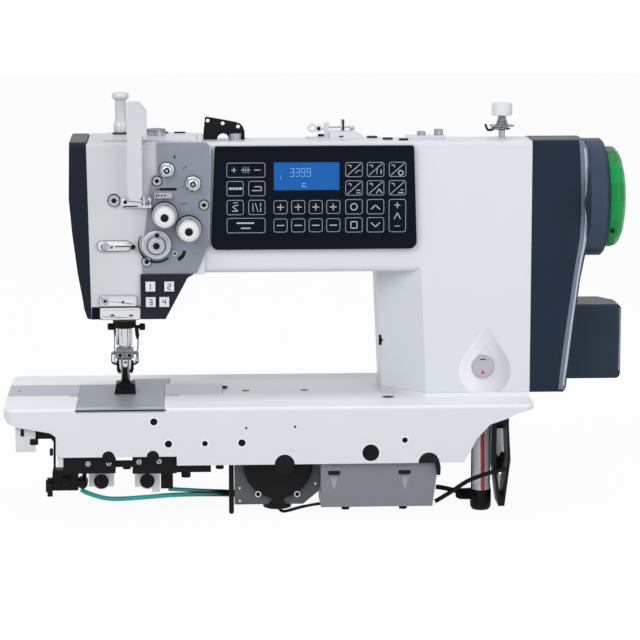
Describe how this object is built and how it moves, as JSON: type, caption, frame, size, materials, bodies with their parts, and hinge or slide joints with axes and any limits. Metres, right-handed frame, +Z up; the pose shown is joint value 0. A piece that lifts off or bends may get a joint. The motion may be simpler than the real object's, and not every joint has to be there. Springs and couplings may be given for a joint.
{
  "type": "industrial sewing machine head",
  "caption": "Flat-bed double-needle industrial sewing machine head with direct-drive motor, green handwheel, operating panel and under-bed valves.",
  "frame": {"origin": "point midway between the two needles where they meet the top of the bed", "axes": "+X right along the bed from head to motor, +Y away from the operator, +Z up"},
  "size_m": [0.6188, 0.1786, 0.41],
  "materials": {
    "white_paint": "smooth off-white enamel on the castings",
    "white_plastic": "moulded white plastic",
    "navy_plastic": "dark blue moulded covers, soft sheen",
    "panel_film": "near-black blue glossy film",
    "display_film": "blue screen film",
    "plate_silver": "silver-grey satin plate",
    "steel": "ground steel",
    "chrome": "polished plating",
    "black": "black oxide and black paint",
    "black_plastic": "black plastic",
    "rubber": "black rubber",
    "green": "green moulded handwheel",
    "teal_hose": "teal air hose",
    "grey_paint": "mid-grey enamel",
    "copper": "wound copper and iron",
    "bronze": "bronze bearing metal",
    "clear": "clear window",
    "red": "red rod"
  },
  "bodies": {
    "machine_frame": {"bed": "white_paint", "bed_skirt": "white_paint", "arm": "white_paint", "face_cover": "navy_plastic", "top_cover": "white_paint", "panel": "panel_film", "display": "display_film", "tension_plate": "plate_silver", "tension_posts": "steel", "thread_guides": "chrome", "fin_guide": "black", "take_up_guard": "white_paint", "finger_guard": "plate_silver", "button_plate": "black_plastic", "end_cover": "navy_plastic", "motor_housing": "navy_plastic", "motor_stator": "copper", "control_box": "navy_plastic", "needle_plate": "steel", "slide_plate_right": "steel", "bobbin_cases": "steel", "oil_window": "clear", "plugs": "rubber", "screws": "steel", "brackets": "black", "valve_plates": "black", "air_valves": "plate_silver", "air_hoses": "teal_hose", "solenoid": "grey_paint", "driver_box": "grey_paint", "cables": "rubber", "oil_tube": "clear", "float_rod": "red", "bushings": "bronze", "timing_belt": "rubber", "springs": "steel"},
    "drive_shaft": {"main_shaft": "steel", "motor_rotor": "steel", "handwheel": "green"},
    "hook_shaft": {"lower_shaft": "steel"},
    "left_hook": {"hook_left": "steel"},
    "right_hook": {"hook_right": "steel"},
    "needle_bar_set": {"needle_bar": "chrome", "needle_clamp": "chrome", "connecting_rod": "steel"},
    "take_up": {"take_up_lever": "chrome"},
    "presser": {"presser_bar": "chrome", "presser_foot": "black"},
    "lifter": {"lifter_lever": "black"},
    "pressure_adjuster": {"pressure_knob": "plate_silver"},
    "left_nut": {"tension_nut_left": "white_plastic"},
    "right_nut": {"tension_nut_right": "white_plastic"},
    "guide_disc": {"thread_disc": "chrome"},
    "winder_nut": {"winder_cap": "white_plastic"},
    "left_slide": {"slide_plate_left": "steel"},
    "button_one": {"button_1": "white_plastic"},
    "button_two": {"button_2": "white_plastic"},
    "button_three": {"button_3": "white_plastic"},
    "button_four": {"button_4": "white_plastic"},
    "feed": {"feed_bar": "steel"}
  },
  "joints": [
    {"name": "handwheel_turn", "type": "hinge", "parent": "machine_frame", "child": "drive_shaft", "pos_m": [0.2, 0, 0.193], "axis": [1, 0, 0], "continuous": true},
    {"name": "hook_shaft_turn", "type": "hinge", "parent": "machine_frame", "child": "hook_shaft", "pos_m": [0.1, 0.022, -0.038], "axis": [1, 0, 0], "continuous": true},
    {"name": "left_hook_turn", "type": "hinge", "parent": "machine_frame", "child": "left_hook", "pos_m": [-0.0236, 0, -0.03], "axis": [0, 0, 1], "continuous": true},
    {"name": "right_hook_turn", "type": "hinge", "parent": "machine_frame", "child": "right_hook", "pos_m": [0.0236, 0, -0.03], "axis": [0, 0, 1], "continuous": true},
    {"name": "needle_stroke", "type": "slide", "parent": "machine_frame", "child": "needle_bar_set", "axis": [0, 0, 1], "range_m": [-0.026, 0.0074]},
    {"name": "take_up_swing", "type": "hinge", "parent": "machine_frame", "child": "take_up", "pos_m": [0.04, -0.005, 0.234], "axis": [1, 0, 0], "range_deg": [-14.45, 50.65]},
    {"name": "lifter_turn", "type": "hinge", "parent": "machine_frame", "child": "lifter", "pos_m": [-0.014, 0.045, 0.15], "axis": [0, 1, 0], "range_deg": [0, 60]},
    {"name": "presser_lift", "type": "slide", "parent": "machine_frame", "child": "presser", "axis": [0, 0, 1], "range_m": [0, 0.0056]},
    {"name": "pressure_turn", "type": "hinge", "parent": "machine_frame", "child": "pressure_adjuster", "pos_m": [-0.002, 0.024, 0.28], "axis": [0, 0, 1], "continuous": true},
    {"name": "left_tension_turn", "type": "hinge", "parent": "machine_frame", "child": "left_nut", "pos_m": [0.0412, -0.076, 0.1846], "axis": [0, 1, 0], "continuous": true},
    {"name": "right_tension_turn", "type": "hinge", "parent": "machine_frame", "child": "right_nut", "pos_m": [0.0645, -0.076, 0.171], "axis": [0, 1, 0], "continuous": true},
    {"name": "guide_disc_turn", "type": "hinge", "parent": "machine_frame", "child": "guide_disc", "pos_m": [0.033, -0.06, 0.155], "axis": [0, 1, 0], "continuous": true},
    {"name": "winder_tension_turn", "type": "hinge", "parent": "machine_frame", "child": "winder_nut", "pos_m": [0.375, -0.005, 0.28], "axis": [0, 0, 1], "continuous": true},
    {"name": "left_plate_slide", "type": "slide", "parent": "machine_frame", "child": "left_slide", "axis": [1, 0, 0], "range_m": [-0.04, 0]},
    {"name": "feed_travel", "type": "slide", "parent": "machine_frame", "child": "feed", "axis": [0, 1, 0], "range_m": [-0.002, 0.002]},
    {"name": "press_one", "type": "slide", "parent": "machine_frame", "child": "button_one", "axis": [0, 1, 0], "range_m": [0, 0.0012], "stiffness_N_per_m": 400, "springref_m": -0.001},
    {"name": "press_two", "type": "slide", "parent": "machine_frame", "child": "button_two", "axis": [0, 1, 0], "range_m": [0, 0.0012], "stiffness_N_per_m": 400, "springref_m": -0.001},
    {"name": "press_three", "type": "slide", "parent": "machine_frame", "child": "button_three", "axis": [0, 1, 0], "range_m": [0, 0.0012], "stiffness_N_per_m": 400, "springref_m": -0.001},
    {"name": "press_four", "type": "slide", "parent": "machine_frame", "child": "button_four", "axis": [0, 1, 0], "range_m": [0, 0.0012], "stiffness_N_per_m": 400, "springref_m": -0.001}
  ],
  "couplings": [
    {"joint": "hook_shaft_turn", "follows": "handwheel_turn", "ratio": 1},
    {"joint": "left_hook_turn", "follows": "handwheel_turn", "ratio": 2},
    {"joint": "right_hook_turn", "follows": "handwheel_turn", "ratio": -2},
    {"joint": "take_up_swing", "follows": "needle_stroke", "rad_per_m": -33.966},
    {"joint": "presser_lift", "follows": "lifter_turn", "m_per_rad": 0.00525}
  ]
}
